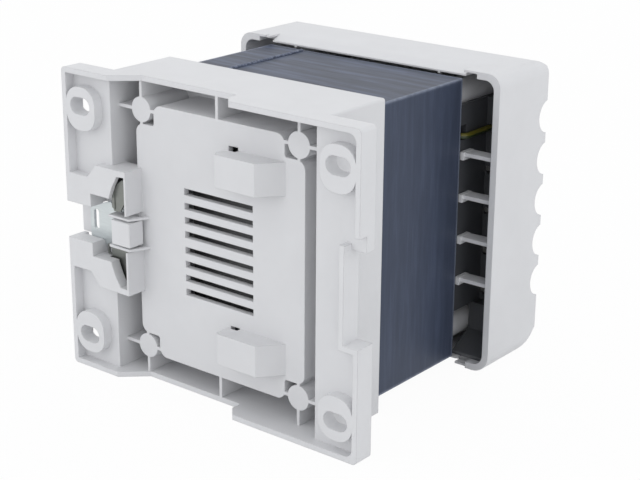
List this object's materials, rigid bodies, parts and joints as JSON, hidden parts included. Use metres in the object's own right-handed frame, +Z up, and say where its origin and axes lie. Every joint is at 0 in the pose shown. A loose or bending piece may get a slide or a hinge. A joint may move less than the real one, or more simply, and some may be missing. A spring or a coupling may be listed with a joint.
{
  "type": "mains transformer",
  "caption": "Mains transformer: laminated core clamped between a grey foot for wall screws or a top-hat rail, with a sliding latch, and a grey terminal cover with side wire entries.",
  "frame": {"origin": "middle of the mounting plane, midway between the four wall slots", "axes": "+X across the rail, +Y away from the wall or rail towards the terminal cover, +Z up along the rail"},
  "size_m": [0.12, 0.1102, 0.102],
  "materials": {
    "grey_moulding": "satin",
    "core_lacquer": "satin",
    "weld": "satin",
    "zinc_steel": "satin",
    "spring_steel": "satin",
    "black_moulding": "matt",
    "copper_wire": "enamelled",
    "film": "glossy",
    "wrap_tape": "matt",
    "tinned_metal": "satin",
    "earth_insulation": "satin",
    "lead_insulation": "satin"
  },
  "bodies": {
    "transformer": {"mounting_foot": "grey_moulding", "latch_springs": "spring_steel", "core_e_stack": "core_lacquer", "core_i_stack": "core_lacquer", "core_weld_beads": "weld", "bobbin": "black_moulding", "primary_winding": "copper_wire", "winding_insulation": "film", "secondary_winding": "copper_wire", "winding_wrap": "wrap_tape", "terminal_cover": "grey_moulding", "terminal_carrier_right": "black_moulding", "terminal_carrier_left": "black_moulding", "terminal_clamps_right": "zinc_steel", "terminal_clamps_left": "zinc_steel", "terminal_bars_right": "tinned_metal", "terminal_bars_left": "tinned_metal", "terminal_screws_right": "zinc_steel", "terminal_screws_left": "zinc_steel", "long_screws": "zinc_steel", "screw_washers": "zinc_steel", "earth_lug": "tinned_metal", "earth_lead": "earth_insulation", "primary_leads": "lead_insulation", "secondary_leads": "lead_insulation"},
    "rail_latch": {"latch_slide": "zinc_steel", "latch_nose": "grey_moulding"}
  },
  "joints": [
    {"name": "latch_travel", "type": "slide", "parent": "transformer", "child": "rail_latch", "axis": [1, 0, 0], "range_m": [0, 0.007]}
  ]
}
